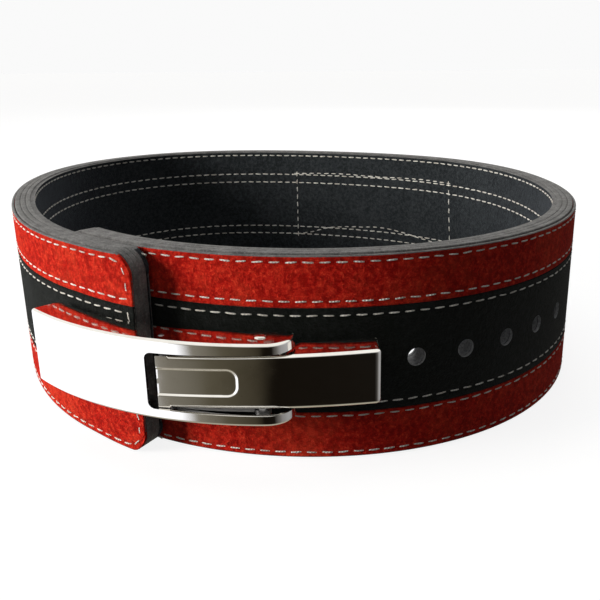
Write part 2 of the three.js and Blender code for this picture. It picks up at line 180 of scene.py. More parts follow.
floor_half_width = 15000
floor_drop = 0.05
floor_corners = [(-1, -1), (1, -1), (1, 1), (-1, 1)]
floor_points = [(x * floor_half_width, y * floor_half_width, -floor_drop) for x, y in floor_corners]
floor = new_object("floor", floor_points, [(0, 1, 2, 3)])
floor_paint = new_material("pale_floor")
paint(
    floor_paint,
    {
        "Base Color": (0.20, 0.20, 0.20, 1),
        "Roughness": 0.7,
        "Specular IOR Level": 0.1,
        "Emission Color": (1, 1, 1, 1),
        "Emission Strength": 0.86,
    },
)
floor.data.materials.append(floor_paint)
floor.visible_glossy = False
floor.visible_diffuse = False

# The air gives a little even light. Mirrors see a studio instead of the floor: a white wall on the
# left, warm dusk in front, darkness to the right of it and a bright ceiling.
world = bpy.data.worlds.new("studio")
bpy.context.scene.world = world
world.use_nodes = True
sky = world.node_tree
sky.nodes.clear()
compass = node(sky, "ShaderNodeTexCoord")
ripples = node(sky, "ShaderNodeTexNoise", None, {0: compass, "Scale": 2.2, "Detail": 2.0})
eastward = node(sky, "ShaderNodeSeparateXYZ", None, {0: compass})
skyward = Wire(sky, eastward.socket.node.outputs[2])
wavering = eastward + (ripples - 0.5) * 0.16 + skyward * 0.12
side_tone = node(
    sky,
    "ShaderNodeValToRGB",
    {
        "stops": [
            (0.0, (1.5, 1.52, 1.6)),
            (0.19, (1.5, 1.52, 1.6)),
            (0.24, (0.26, 0.24, 0.20)),
            (0.33, (0.105, 0.092, 0.062)),
            (0.425, (0.055, 0.046, 0.030)),
            (0.455, (0.008, 0.006, 0.004)),
            (0.66, (0.010, 0.008, 0.006)),
            (0.80, (0.16, 0.15, 0.14)),
            (1.0, (0.55, 0.55, 0.56)),
        ]
    },
    {0: wavering * 0.5 + 0.5},
)
ceiling = between(skyward + (ripples - 0.5) * 0.2, -0.05, 0.45)
mirror_tone = mix_colours(ceiling, side_tone, (1.15, 1.12, 1.06, 1))
lit_ground = between(skyward, -0.52, -0.85)
mirror_tone = mix_colours(lit_ground, mirror_tone, (0.46, 0.42, 0.33, 1))
mirrored = node(sky, "ShaderNodeBackground", None, {"Color": mirror_tone, "Strength": 1.0})
even = node(sky, "ShaderNodeBackground", None, {"Color": (0.96, 0.98, 1, 1), "Strength": 0.11})
pale = node(sky, "ShaderNodeBackground", None, {"Color": (1, 1, 1, 1), "Strength": 0.955})
seen_in_mirrors = node(sky, "ShaderNodeLightPath", None, None, output="Is Glossy Ray")
seen_plainly = node(sky, "ShaderNodeLightPath", None, None, output="Is Camera Ray")
world_light = node(sky, "ShaderNodeMixShader", None, {0: seen_in_mirrors, 1: even, 2: mirrored})
world_light = node(sky, "ShaderNodeMixShader", None, {0: seen_plainly, 1: world_light, 2: pale})
node(sky, "ShaderNodeOutputWorld", None, {"Surface": world_light})
bpy.context.scene.view_settings.view_transform = "Standard"


def soft_light(name, place, aim, width, watts, colour=(1, 1, 1)):
    data = bpy.data.lights.new(name, "AREA")
    data.shape = "SQUARE"
    data.size = width
    data.energy = watts
    data.color = colour
    light = bpy.data.objects.new(name, data)
    light.location = place
    light.rotation_mode = "QUATERNION"
    light.rotation_quaternion = (Vector(place) - Vector(aim)).to_track_quat("Z", "Y")
    bpy.context.scene.collection.objects.link(light)
    return light


window = soft_light("window_light", (-1.25, -0.52, 0.42), (-0.05, -0.1, 0.05), 0.5, 28, (1, 0.97, 0.93))
roof = soft_light("roof_light", (-0.2, 0.2, 1.9), (0, 0, 0), 1.6, 15)
behind = soft_light("back_light", (0.4, 1.9, 1.2), (0, 0, 0.05), 1.0, 12)
for light in (window, roof, behind):
    light.visible_glossy = False


# The strap's run seen from above. The loop is an uneven oval; the strap leaves it at the back
# and comes round again over its own hole end. A place on the strap is a length from the hole
# end, a height and a depth below the outer face.
strap_width = 100
strap_thickness = 12.6
loop_radius = 184
loop_waves = ((2, 0.085, -52), (3, 0.032, 22), (4, 0.016, -46))
lap_rise = strap_thickness + 0.5
lap_start, lap_full = 450, 555
end_lift, end_lift_length = 2, 40
hole_pitch, hole_count, holes_before_prongs, hole_end_margin = 26.2, 10, 3, 58
prong_direction, flap_setback = 278.6, 87
buckle_height = 49
hole_radius, hole_sides = 4.5, 28


def smooth_step(share):
    share = np.clip(share, 0, 1)
    return share * share * (3 - 2 * share)


def inner_radius(degrees):
    factor = 1
    for lobes, share, direction in loop_waves:
        factor = factor + share * np.cos(lobes * np.radians(degrees - direction))
    return loop_radius * factor


def polar(degrees, radius):
    turn = np.radians(degrees)
    return np.stack([radius * np.cos(turn), radius * np.sin(turn)], -1)


def lengths_of(points):
    steps = np.linalg.norm(np.diff(points, axis=0), axis=1)
    return np.concatenate([[0], np.cumsum(steps)])


loop_angles = np.linspace(200, 300, 4001)
loop_lengths = lengths_of(polar(loop_angles, inner_radius(loop_angles)))
prong_length = np.interp(prong_direction, loop_angles, loop_lengths)
first_hole = -(holes_before_prongs + 0.5) * hole_pitch
hole_end = np.interp(prong_length + first_hole - hole_end_margin, loop_lengths, loop_angles)
flap_end = np.interp(prong_length - flap_setback, loop_lengths, loop_angles) + 360


def run_radius(degrees):
    lap = smooth_step((degrees - lap_start) / (lap_full - lap_start))
    lift_start = flap_end - math.degrees(end_lift_length / loop_radius)
    lift = end_lift * smooth_step((degrees - lift_start) / (flap_end - lift_start))
    return inner_radius(degrees) + lap_rise * lap + lift


run_angles = np.linspace(hole_end, flap_end, 16001)
run_points = polar(run_angles, run_radius(run_angles))
run_lengths = lengths_of(run_points)
strap_length = run_lengths[-1]
run_along = np.gradient(run_points, axis=0)
run_along /= np.linalg.norm(run_along, axis=1)[:, None]
prong_place = np.interp(prong_direction, run_angles, run_lengths)
hole_places = [prong_place + first_hole + hole_pitch * i for i in range(hole_count)]


def along_strap(table, length):
    return np.stack([np.interp(length, run_lengths, table[:, i]) for i in (0, 1)], -1)


def on_strap(length, height, depth):
    """Points of the strap, in millimetres in the belt's own frame."""
    length, height, depth = np.broadcast_arrays(
        *(np.asarray(x, float) for x in (length, height, depth))
    )
    along = along_strap(run_along, length)
    out = np.stack([along[..., 1], -along[..., 0]], -1)
    flat = along_strap(run_points, length) - out * depth[..., None] + np.array(loop_centre)
    return np.concatenate([flat, height[..., None]], -1)


def outward_at(length):
    along = along_strap(run_along, np.asarray(length, float))
    return np.stack([along[..., 1], -along[..., 0], np.zeros(np.shape(length))], -1)


# The leather: three plies of dyed cowhide, glued face to face, with their cut edges rounded and
# burnished. The seams between the plies show as lines along the rim and down the two ends.
end_corner = 12
ply_seams = (1.9, 4.85, 7.8, 10.7)
ply_rounding, ply_gap = 0.5, 0.02
groove_depth, groove_width = 0.32, 0.9


def corner_drop(from_end):
    left = np.maximum(0, end_corner - from_end)
    return end_corner - np.sqrt(end_corner**2 - left**2)


def strap_stations(spacing, rounding):
    """Lengths along the strap, closer together at its rounded ends."""
    tight = rounding * (1 - np.cos(np.linspace(0, math.pi / 2, 5)))
    corner = end_corner * (1 - np.cos(np.linspace(0, math.pi / 2, 11)))
    near = np.unique(np.round(np.concatenate([tight, corner]), 3))
    count = math.ceil((strap_length - 2 * end_corner) / spacing)
    middle = np.linspace(end_corner, strap_length - end_corner, count + 1)[1:-1]
    return np.concatenate([near, middle, strap_length - near[::-1]])


def layer_section(low, high, near, far, rounding, near_heights):
    """The outline of a layer's cut, from its near face over the top to its far face."""
    arc = np.linspace(0, math.pi / 2, 4)
    section = [(near, z) for z in near_heights]
    short, long = rounding * (1 - np.cos(arc)), rounding * (1 - np.sin(arc))
    section += list(zip(near + short, high - long))
    section += list(zip(far - long, high - short))
    section += list(zip(far - short, low + long))
    section += list(zip(near + long, low + short))
    return np.array(section)


def strap_layer(low, high, near, far, rounding, spacing, dips=(), step=None):
    """Points and faces of one layer. The near face may be the outer or the inner one."""
    if step:
        heights = np.arange(low + rounding + step, high - rounding - step / 2, step)
        near_heights = sorted(set(np.round(heights, 2)))
    else:
        near_heights = [(low + high) / 2]
    section = layer_section(low, high, near, far, rounding, near_heights)
    stations = strap_stations(spacing, rounding)
    from_end = np.minimum(stations, strap_length - stations)
    inset = rounding - np.sqrt(np.maximum(0, rounding**2 - np.maximum(0, rounding - from_end) ** 2))
    drop = corner_drop(from_end)
    bottom = np.maximum(low, drop) + inset
    top = np.minimum(high, strap_width - drop) - inset
    share = (section[:, 1] - low) / (high - low)
    height = bottom[:, None] + share[None, :] * (top - bottom)[:, None]
    middle = (near + far) / 2
    narrowing = 1 - 2 * inset / abs(far - near)
    depth = middle + (section[:, 0] - middle)[None, :] * narrowing[:, None]
    towards = 1 if far > near else -1
    count = len(near_heights)
    for row in dips:
        groove = groove_depth * np.exp(-(((section[:count, 1] - row) / groove_width) ** 2))
        depth[:, :count] += towards * groove[None, :]
    points = on_strap(stations[:, None], height, depth).reshape(-1, 3)
    size = len(section)
    faces = []
    edge_faces = []
    for i in range(len(stations) - 1):
        for j in range(size):
            k = (j + 1) % size
            quad = (i * size + j, i * size + k, (i + 1) * size + k, (i + 1) * size + j)
            faces.append(quad if towards > 0 else quad[::-1])
            edge_faces.append(count <= j < count + 6 or j >= size - 7)
    start = tuple(range(size))
    end = tuple(range((len(stations) - 1) * size, len(stations) * size))
    faces.append(start[::-1] if towards > 0 else start)
    faces.append(end if towards > 0 else end[::-1])
    edge_faces += [True, True]
    return points, faces, edge_faces


def hole_punches(material):
    """One object with a closed cylinder for every punched hole of the inner layer."""
    points = []
    faces = []
    for place in hole_places:
        out = outward_at(place)
        centre = on_strap(place, buckle_height, 0)
        along = np.array([-out[1], out[0], 0])
        for depth in (0.26, -strap_thickness - 0.8):
            for i in range(hole_sides):
                turn = 2 * math.pi * i / hole_sides
                offset = along * math.cos(turn) + np.array([0, 0, 1]) * math.sin(turn)
                points.append(centre + out * depth + hole_radius * offset)
        first = len(points) - 2 * hole_sides
        for i in range(hole_sides):
            k = (i + 1) % hole_sides
            faces.append((first + i, first + hole_sides + i, first + hole_sides + k, first + k))
        faces.append(tuple(range(first, first + hole_sides)))
        faces.append(tuple(range(first + 2 * hole_sides - 1, first + hole_sides - 1, -1)))
    cutter = new_object("hole_punches", points, faces)
    cutter.data.materials.append(material)
    return cutter


def bake_modifiers(made):
    """Turns an object with modifiers into a plain mesh object."""
    evaluated = made.evaluated_get(bpy.context.evaluated_depsgraph_get())
    mesh = bpy.data.meshes.new_from_object(evaluated)
    made.modifiers.clear()
    old = made.data
    made.data = mesh
    mesh.name = made.name
    if old.users == 0:
        bpy.data.meshes.remove(old)


def punch_holes(made, material):
    cutter = hole_punches(material)
    punching = made.modifiers.new("punching", "BOOLEAN")
    punching.operation = "DIFFERENCE"
    punching.solver = "EXACT"
    punching.material_mode = "TRANSFER"
    punching.object = cutter
    bake_modifiers(made)
    bpy.data.objects.remove(cutter)


def smooth(made, degrees=40):
    made.data.shade_smooth()
    made.data.set_sharp_from_angle(angle=math.radians(degrees))


def object_noise(tree, size, detail=3.0, roughness=0.55, stretch=(1, 1, 1)):
    """Noise on the object's own coordinates, with lumps of about the given size in mm."""
    place = node(tree, "ShaderNodeTexCoord", None, None, output="Object")
    scaled = node(tree, "ShaderNodeMapping", {"vector_type": "POINT"}, {0: place, 3: stretch})
    return node(
        tree,
        "ShaderNodeTexNoise",
        None,
        {0: scaled, "Scale": 1000 / size, "Detail": detail, "Roughness": roughness},
    )


def fit(made, body, slot_name, *node_names):
    """The piece goes with a body, and stands in for the solids that it is named for."""
    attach(made, body)
    if node_names:
        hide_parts(*node_names)


def bump(height, strength, distance):
    sockets = {"Strength": strength, "Distance": distance, "Height": height}
    return node(height.tree, "ShaderNodeBump", None, sockets)


edge_leather = new_material("edge_leather")
edge_tree = edge_leather.node_tree
edge_fibre = object_noise(edge_tree, 1.2, 5, 0.8)
edge_patch = object_noise(edge_tree, 6, 4, 0.7)
edge_tone = mix_colours(
    between(edge_patch, 0.35, 0.7), (0.065, 0.064, 0.063, 1), (0.15, 0.148, 0.145, 1)
)
# Painted highlight: lighter where the fibre noise, which is also the bump's height, is highest.
edge_lit_and_shaded = mix_colours(between(edge_fibre, 0.5, 0.72) * 0.9, edge_tone, (0.27, 0.265, 0.26, 1))
# Painted shade: darker in the hollows of the same fibre bump.
edge_lit_and_shaded = mix_colours(between(edge_fibre, 0.47, 0.3) * 0.8, edge_lit_and_shaded, (0.02, 0.02, 0.02, 1))
edge_bump = bump(edge_fibre, 0.9, 0.0006)
paint(
    edge_leather, {"Base Color": edge_lit_and_shaded, "Roughness": 0.45 + 0.35 * edge_fibre, "Normal": edge_bump}
)

# Inside the punched holes the leather is raw and paler, with the same grain.
# Its tones are made paler still as painted light, standing in for light that reaches into the dim holes.
raw_leather_and_painted_light = new_material("raw_leather_and_painted_light")
raw_tree = raw_leather_and_painted_light.node_tree
raw_fibre = object_noise(raw_tree, 1.0, 4, 0.75)
raw_tone_and_painted_light = mix_colours(between(raw_fibre, 0.35, 0.68), (0.22, 0.22, 0.225, 1), (0.50, 0.50, 0.50, 1))
raw_bump = bump(raw_fibre, 0.7, 0.0005)
paint(raw_leather_and_painted_light, {"Base Color": raw_tone_and_painted_light, "Roughness": 0.85, "Normal": raw_bump})

ply_points = np.zeros((0, 3))
ply_faces = []
for near, far in zip(ply_seams, ply_seams[1:]):
    points, faces, _ = strap_layer(0, strap_width, near + ply_gap, far - ply_gap, ply_rounding, 3)
    first = len(ply_points)
    ply_points = np.concatenate([ply_points, points])
    ply_faces += [tuple(first + i for i in face) for face in faces]
plies = new_object("leather_plies", ply_points, ply_faces)
plies.data.materials.append(edge_leather)
punch_holes(plies, raw_leather_and_painted_light)
smooth(plies)
fit(plies, "strap", "edge_leather", "leather_core")


# The suede: split leather with a short brushed nap, glued on and sewn. Outside are three bands,
# red, black and red; inside is one black lining. Sewing pulls a shallow groove under each row.
suede_thickness = 1.6
suede_inset = 0.8
suede_rounding = 0.55
lower_seam, upper_seam, seam_gap = 24, 75, 0.15
row_heights = (96.2, 78.2, 71.6, 28.2, 22.2, 3.4)
lining_row_heights = (96.3, 78.8, 71.4, 29.4, 22.2, 3.4)


def suede(name, deep, middle, bright, fuzz):
    material = new_material(name)
    tree = material.node_tree
    nap = object_noise(tree, 1.1, 4, 0.75)
    tufts = object_noise(tree, 2.6, 4, 0.75)
    strokes = object_noise(tree, 4.5, 4, 0.65, (1, 1, 0.6))
    patches = object_noise(tree, 45, 2, 0.5)
    tone = mix_colours(between(tufts, 0.42, 0.56), deep, middle)
    brushed = between(strokes * 0.5 + patches * 0.5, 0.44, 0.68) * 0.3
    tone = mix_colours(brushed, tone, bright)
    # Painted highlight: lighter where the nap's bump height is greatest.
    painted_nap_highlight = between(tufts * 0.5 + nap * 0.5, 0.52, 0.64) * 0.6
    tone = mix_colours(painted_nap_highlight, tone, bright)
    # Painted shade: darker where the nap's bump height is lowest.
    painted_nap_shade = between(tufts * 0.45 + nap * 0.55, 0.47, 0.33) * 0.85
    tone = mix_colours(painted_nap_shade, tone, deep)
    height = nap * 0.5 + tufts * 0.5
    relief = bump(height, 1.0, 0.0016)
    paint(
        material,
        {
            "Base Color": tone,
            "Roughness": 0.95,
            "Specular IOR Level": 0.1,
            "Sheen Weight": 0.12,
            "Sheen Roughness": 0.5,
            "Sheen Tint": fuzz,
            "Normal": relief,
        },
    )
    return material


red_suede = suede(
    "red_suede",
    (0.30, 0.005, 0.003, 1),
    (0.52, 0.014, 0.008, 1),
    (0.92, 0.092, 0.036, 1),
    (1, 0.35, 0.25, 1),
)
black_suede = suede(
    "black_suede",
    (0.002, 0.003, 0.002, 1),
    (0.006, 0.007, 0.006, 1),
    (0.018, 0.020, 0.019, 1),
    (0.5, 0.5, 0.5, 1),
)
lining_suede = suede(
    "lining_suede",
    (0.012, 0.014, 0.015, 1),
    (0.025, 0.029, 0.031, 1),
    (0.050, 0.056, 0.060, 1),
    (0.7, 0.75, 0.9, 1),
)


def suede_piece(name, node_name, slot_name, material, low, high, near, far, rows, holes):
    points, faces, edges = strap_layer(low, high, near, far, suede_rounding, 2, rows, 0.8)
    made = new_object(name, points, faces)
    made.data.materials.append(material)
    made.data.materials.append(edge_leather)
    lowest_rim = suede_inset + 0.6
    highest_rim = strap_width - lowest_rim
    for polygon, edge in zip(made.data.polygons, edges):
        height = polygon.center.z / MM
        on_rim = height < lowest_rim or height > highest_rim or len(polygon.vertices) > 4
        polygon.material_index = 1 if edge and on_rim else 0
    if holes:
        punch_holes(made, raw_leather_and_painted_light)
    smooth(made)
    fit(made, "strap", slot_name, node_name)


outer = (0, suede_thickness)
inner = (strap_thickness, strap_thickness - suede_thickness)
suede_low, suede_high = suede_inset, strap_width - suede_inset
for name, node_name, slot_name, material, low, high, depths, rows, holes in (
    ("suede_band_upper", "upper_red_band", "red_suede", red_suede,
     upper_seam + seam_gap, suede_high, outer, row_heights[:2], False),
    ("suede_band_centre", "centre_black_band", "black_suede", black_suede,
     lower_seam + seam_gap, upper_seam - seam_gap, outer, row_heights[2:4], True),
    ("suede_band_lower", "lower_red_band", "red_suede", red_suede,
     suede_low, lower_seam - seam_gap, outer, row_heights[4:], False),
    ("suede_lining", "inner_lining", "black_suede", lining_suede,
     suede_low, suede_high, inner, lining_row_heights, True),
):
    suede_piece(name, node_name, slot_name, material, low, high, *depths, rows, holes)


# The sewing: waxed white thread, one stitch every 7.4 mm. Each outer band is sewn all round, near
# its edges; the lining shows the same six rows and a sewn rectangle at the back.
outer_pitch, outer_stitch = 7.4, 4.7
inner_pitch, inner_stitch = 6.9, 4.5
outer_thickness, inner_thickness = 0.8, 1.05
end_row_inset = 3.2


def sewing_tree():
    """Stitches on every line of a mesh of edges, each along its line and bowed outwards."""
    tree = bpy.data.node_groups.new("sewn_rows", "GeometryNodeTree")
    tree.interface.new_socket("Rows", in_out="INPUT", socket_type="NodeSocketGeometry")
    for name in ("Pitch", "Stitch Length", "Thread Thickness", "Bow", "Sway"):
        tree.interface.new_socket(name, in_out="INPUT", socket_type="NodeSocketFloat")
    tree.interface.new_socket("Seed", in_out="INPUT", socket_type="NodeSocketInt")
    tree.interface.new_socket("Thread", in_out="INPUT", socket_type="NodeSocketMaterial")
    tree.interface.new_socket("Sewing", in_out="OUTPUT", socket_type="NodeSocketGeometry")
    given = tree.nodes.new("NodeGroupInput")

    def given_as(name):
        return Wire(tree, given.outputs[name])

    def add(kind, sockets=None, settings=None, output=0):
        return node(tree, kind, settings, sockets, output)

    lines = add("GeometryNodeMeshToCurve", {"Mesh": given_as("Rows")})
    spots = add(
        "GeometryNodeCurveToPoints", {"Curve": lines, "Length": given_as("Pitch")}, {"mode": "LENGTH"}
    )
    tangent = Wire(tree, spots.socket.node.outputs["Tangent"])
    outward = add("GeometryNodeInputNamedAttribute", {"Name": "outward"}, {"data_type": "FLOAT_VECTOR"})
    half = given_as("Stitch Length") * 0.5
    under = given_as("Bow") * -1.0
    start = add("ShaderNodeCombineXYZ", {0: half * -1.0, 2: under})
    middle = add("ShaderNodeCombineXYZ", {2: given_as("Bow") * 1.6})
    end = add("ShaderNodeCombineXYZ", {0: half, 2: under})
    bowed = add(
        "GeometryNodeCurveQuadraticBezier",
        {"Resolution": 5, "Start": start, "Middle": middle, "End": end},
    )
    share = add("GeometryNodeSplineParameter", output="Factor")
    bowed = add(
        "GeometryNodeStoreNamedAttribute",
        {"Geometry": bowed, "Name": "thread_run", "Value": share},
        {"data_type": "FLOAT", "domain": "POINT"},
    )
    ring = add(
        "GeometryNodeCurvePrimitiveCircle",
        {"Resolution": 6, "Radius": given_as("Thread Thickness") * 0.5},
    )
    ring = add(
        "GeometryNodeStoreNamedAttribute",
        {"Geometry": ring, "Name": "thread_turn", "Value": share},
        {"data_type": "FLOAT", "domain": "POINT"},
    )
    stitch = add("GeometryNodeCurveToMesh", {"Curve": bowed, "Profile Curve": ring, "Fill Caps": True})
    stitch = add("GeometryNodeSetShadeSmooth", {"Geometry": stitch})
    aligned = add("FunctionNodeAlignRotationToVector", {"Vector": tangent}, {"axis": "X"})
    aligned = add(
        "FunctionNodeAlignRotationToVector",
        {"Rotation": aligned, "Vector": outward},
        {"axis": "Z", "pivot_axis": "X"},
    )
    sway = add(
        "FunctionNodeRandomValue",
        {"Min": given_as("Sway") * -1.0, "Max": given_as("Sway"), "Seed": given_as("Seed")},
        {"data_type": "FLOAT"},
    )
    swing = add("FunctionNodeEulerToRotation", {0: node(tree, "ShaderNodeCombineXYZ", None, {2: sway})})
    aligned = add(
        "FunctionNodeRotateRotation",
        {"Rotation": aligned, "Rotate By": swing},
        {"rotation_space": "LOCAL"},
    )
    size = add(
        "FunctionNodeRandomValue",
        {"Min": 0.93, "Max": 1.06, "Seed": given_as("Seed") + 1},
        {"data_type": "FLOAT"},
    )
    placed = add(
        "GeometryNodeInstanceOnPoints",
        {"Points": spots, "Instance": stitch, "Rotation": aligned, "Scale": size},
    )
    real = add("GeometryNodeRealizeInstances", {"Geometry": placed})
    finished = add("GeometryNodeSetMaterial", {"Geometry": real, "Material": given_as("Thread")})
    node_out = tree.nodes.new("NodeGroupOutput")
    tree.links.new(finished.socket, node_out.inputs[0])
    return tree


thread = new_material("white_thread")
thread_tree = thread.node_tree
run_share = node(thread_tree, "ShaderNodeAttribute", {"attribute_name": "thread_run"}, None, output="Fac")
turn_share = node(thread_tree, "ShaderNodeAttribute", {"attribute_name": "thread_turn"}, None, output="Fac")
twist = run_share * 22 + turn_share * 2 * math.pi
strands = twist.maths("SINE", twist)
thread_dirt = object_noise(thread_tree, 9, 3)
thread_tone = mix_colours(between(thread_dirt, 0.4, 0.72), (0.80, 0.78, 0.72, 1), (0.52, 0.48, 0.42, 1))
# Painted shade: darker in the grooves between the twisted strands, where the bump is lowest.
thread_tone = mix_colours(between(strands, -0.2, -1.0) * 0.5, thread_tone, (0.30, 0.26, 0.22, 1))
thread_bump = bump(strands, 0.5, 0.0003)
paint(thread, {"Base Color": thread_tone, "Roughness": 0.62, "Normal": thread_bump})


def rounded_loop(corners):
    """A closed flat line through corners given as (length, height, radius)."""
    line = []
    count = len(corners)
    for i, (length, height, radius) in enumerate(corners):
        here = np.array([length, height])
        before = np.array(corners[i - 1][:2])
        after = np.array(corners[(i + 1) % count][:2])
        back = (before - here) / np.linalg.norm(before - here)
        on = (after - here) / np.linalg.norm(after - here)
        centre = here + radius * (back + on)
        for turn in np.linspace(0, math.pi / 2, 6):
            line.append(centre - radius * (on * math.cos(turn) + back * math.sin(turn)))
    return np.array(line)


def dense(line, closed, spacing=2.0):
    if closed:
        line = np.concatenate([line, line[:1]])
    lengths = lengths_of(line)
    count = max(2, int(lengths[-1] / spacing))
    marks = np.linspace(0, lengths[-1], count + 1)
    return np.stack([np.interp(marks, lengths, line[:, i]) for i in (0, 1)], -1)


def sew(name, lines, depth, facing, pitch, stitch, thickness, seed):
    """Sews flat lines of (length, height) points on a face of the strap."""
    points = []
    outward = []
    edges = []
    for line, closed in lines:
        line = dense(line, closed)
        first = len(points)
        points += list(on_strap(line[:, 0], line[:, 1], depth) * MM)
        outward += list(facing * outward_at(line[:, 0]))
        edges += [(first + i, first + i + 1) for i in range(len(line) - 1)]
    mesh = bpy.data.meshes.new(name)
    mesh.from_pydata([tuple(p) for p in points], edges, [])
    direction = mesh.attributes.new("outward", "FLOAT_VECTOR", "POINT")
    direction.data.foreach_set("vector", np.array(outward, np.float32).ravel())
    made = bpy.data.objects.new(name, mesh)
    bpy.context.scene.collection.objects.link(made)
    sewing = made.modifiers.new("sewing", "NODES")
    sewing.node_group = sewing_rows
    values = {
        "Pitch": pitch * MM,
        "Stitch Length": stitch * MM,
        "Thread Thickness": thickness * MM,
        "Bow": 0.32 * MM,
        "Sway": math.radians(5),
        "Seed": seed,
        "Thread": thread,
    }
    for item in sewing_rows.interface.items_tree:
        if item.in_out == "INPUT" and item.name in values:
            sewing[item.identifier] = values[item.name]
    bake_modifiers(made)
    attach(made, "strap")


sewing_rows = sewing_tree()
outer_corner = end_corner - (strap_width - row_heights[0])
outer_lines = []
left, right = end_row_inset, strap_length - end_row_inset
for top, bottom in zip(row_heights[0::2], row_heights[1::2]):
    high = (top, outer_corner if top > 90 else 2)
    low = (bottom, outer_corner if bottom < 10 else 2)
    outer_lines.append((rounded_loop([(left, *low), (right, *low), (right, *high), (left, *high)]), True))
sew("stitching_outside", outer_lines, 0.22, 1, outer_pitch, outer_stitch, outer_thickness, 3)

# The rectangle follows the second row, steps down once beside it, and wanders along its lower side.
rectangle_sides = (
    [(703, 79.4), (703, 22.2)],
    [(546, 80.4), (542, 26.0)],
    [(703, 79.9), (680, 80.6), (655, 80.9), (636, 80.2), (622, 79.8), (600, 80.4),
     (575, 80.9), (546, 80.4)],
    [(622, 79.8), (619.5, 78.9), (617.5, 76.6)],
    [(703, 22.2), (690, 24.3), (672, 29.6), (655, 31.6), (640, 32.2), (625, 33.4), (612, 33.2),
     (595, 31.2), (578, 28.4), (560, 26.6), (542, 26.0)],
)
inner_lines = [
    (np.array([(end_row_inset, row), (strap_length - end_row_inset, row)]), False)
    for row in lining_row_heights
]
inner_lines += [(np.array(side, float), False) for side in rectangle_sides]
lining_face = strap_thickness - 0.2
sew("stitching_inside", inner_lines, lining_face, -1, inner_pitch, inner_stitch, inner_thickness, 8)


# The chrome: steel polished to a mirror and plated, with hair scratches, smudges and a few specks.
chrome = new_material("polished_chrome")
chrome_tree = chrome.node_tree
smudges = object_noise(chrome_tree, 16, 4, 0.6)
scratches = object_noise(chrome_tree, 1.2, 6, 0.8, (0.06, 0.06, 1))
specks = object_noise(chrome_tree, 1.0, 2, 0.5)
chrome_tone = mix_colours(between(smudges, 0.4, 0.75), (0.80, 0.79, 0.77, 1), (0.70, 0.68, 0.64, 1))
chrome_tone = mix_colours(between(specks, 0.74, 0.8), chrome_tone, (0.35, 0.33, 0.3, 1))
chrome_bump = bump(scratches, 0.03, 0.0002)
chrome_shine = 0.05 + 0.12 * between(smudges, 0.45, 0.8)
paint(
    chrome,
    {"Base Color": chrome_tone, "Metallic": 1.0, "Roughness": chrome_shine, "Normal": chrome_bump},
)

# The steel of the base plate, pin and screws: zinc plated and brushed, duller than the chrome.
steel = new_material("plated_steel")
steel_tree = steel.node_tree
brushing = object_noise(steel_tree, 0.8, 5, 0.7, (0.1, 0.1, 1))
steel_tone = mix_colours(between(brushing, 0.35, 0.7), (0.26, 0.26, 0.27, 1), (0.40, 0.40, 0.41, 1))
steel_bump = bump(brushing, 0.15, 0.0002)
paint(
    steel,
    {
        "Base Color": steel_tone,
        "Metallic": 1.0,
        "Roughness": 0.28 + 0.2 * brushing,
        "Normal": steel_bump,
    },
)


# The buckle's own frame: along the strap, up, and outwards from the prongs' middle. Both plates
# are pressed from sheet: a bowed face, bent flanges and an end wall, with soft bends.
seat_point = on_strap(prong_place, 0, 0)
seat_out = outward_at(prong_place)
seat_along = np.array([-seat_out[1], seat_out[0], 0])
sharp_fold, wall_short = 50, 0.05
rim_break, rim_angle = 0.3, 60


def at_buckle(along, out, height):
    """A point of the buckle; height counts from its middle."""
    place = seat_point + seat_along * along + seat_out * out
    return (place[0], place[1], buckle_height + height)


class Sheet:
    """The outer skin of a pressed plate, as points and faces in the buckle's frame."""

    def __init__(self):
        self.points = []
        self.faces = []
        self.known = {}

    def point(self, along, out, height):
        key = (round(along, 4), round(out, 4), round(height, 4))
        if key not in self.known:
            self.known[key] = len(self.points)
            self.points.append(at_buckle(along, out, height))
        return self.known[key]

    def face(self, *corners):
        around = tuple(dict.fromkeys(self.point(*corner) for corner in corners))
        if len(around) > 2:
            self.faces.append(around)


def pressed(name, sheet, bend, material, end_along=None, end_bend=0.0):
    """Bends the skin's edges, gives it the plate's thickness and breaks its rims."""
    made = new_object(name, sheet.points, sheet.faces)
    at_end = {index for key, index in sheet.known.items() if key[0] == end_along}
    widest = max(bend, end_bend)
    shape = bmesh.new()
    shape.from_mesh(made.data)
    weights = shape.edges.layers.float.new("bevel_weight_edge")
    for edge in shape.edges:
        if len(edge.link_faces) == 2 and edge.calc_face_angle() > math.radians(sharp_fold):
            is_end = all(vertex.index in at_end for vertex in edge.verts)
            edge[weights] = (end_bend if is_end else bend) / widest
    shape.to_mesh(made.data)
    shape.free()
    bends = made.modifiers.new("bends", "BEVEL")
    bends.width = widest * MM
    bends.segments = 5
    bends.limit_method = "WEIGHT"
    bends.use_clamp_overlap = False
    wall = made.modifiers.new("wall", "SOLIDIFY")
    wall.thickness = (bend - wall_short) * MM
    wall.offset = -1
    rims = made.modifiers.new("rims", "BEVEL")
    rims.width = rim_break * MM
    rims.segments = 3
    rims.limit_method = "ANGLE"
    rims.angle_limit = math.radians(rim_angle)
    evening = made.modifiers.new("evening", "WEIGHTED_NORMAL")
    evening.keep_sharp = True
    made.data.shade_smooth()
    made.data.materials.append(material)
    bake_modifiers(made)
    return made


# The lever: a curved steel plate, chromed, that a hand lifts at its left end. It is forked on the
# right: its two arms pass above and below the hook plate and turn on rivets in the base plate's ears.
lever_bend, lever_sweep, lever_depth = 155, 46.3, 14
lever_pivot = (-31, 14.6)
link_pivot = (-73, 11.6)
nose_radius, nose_end, nose_back_end = 12, 6, 33
nose_top = lever_pivot[1] + 9
lever_centre = (-28.5, nose_top - lever_bend)
nose_centre = (-28.5, nose_top - nose_radius)
slot_end, slot_corner = -80.3, 3


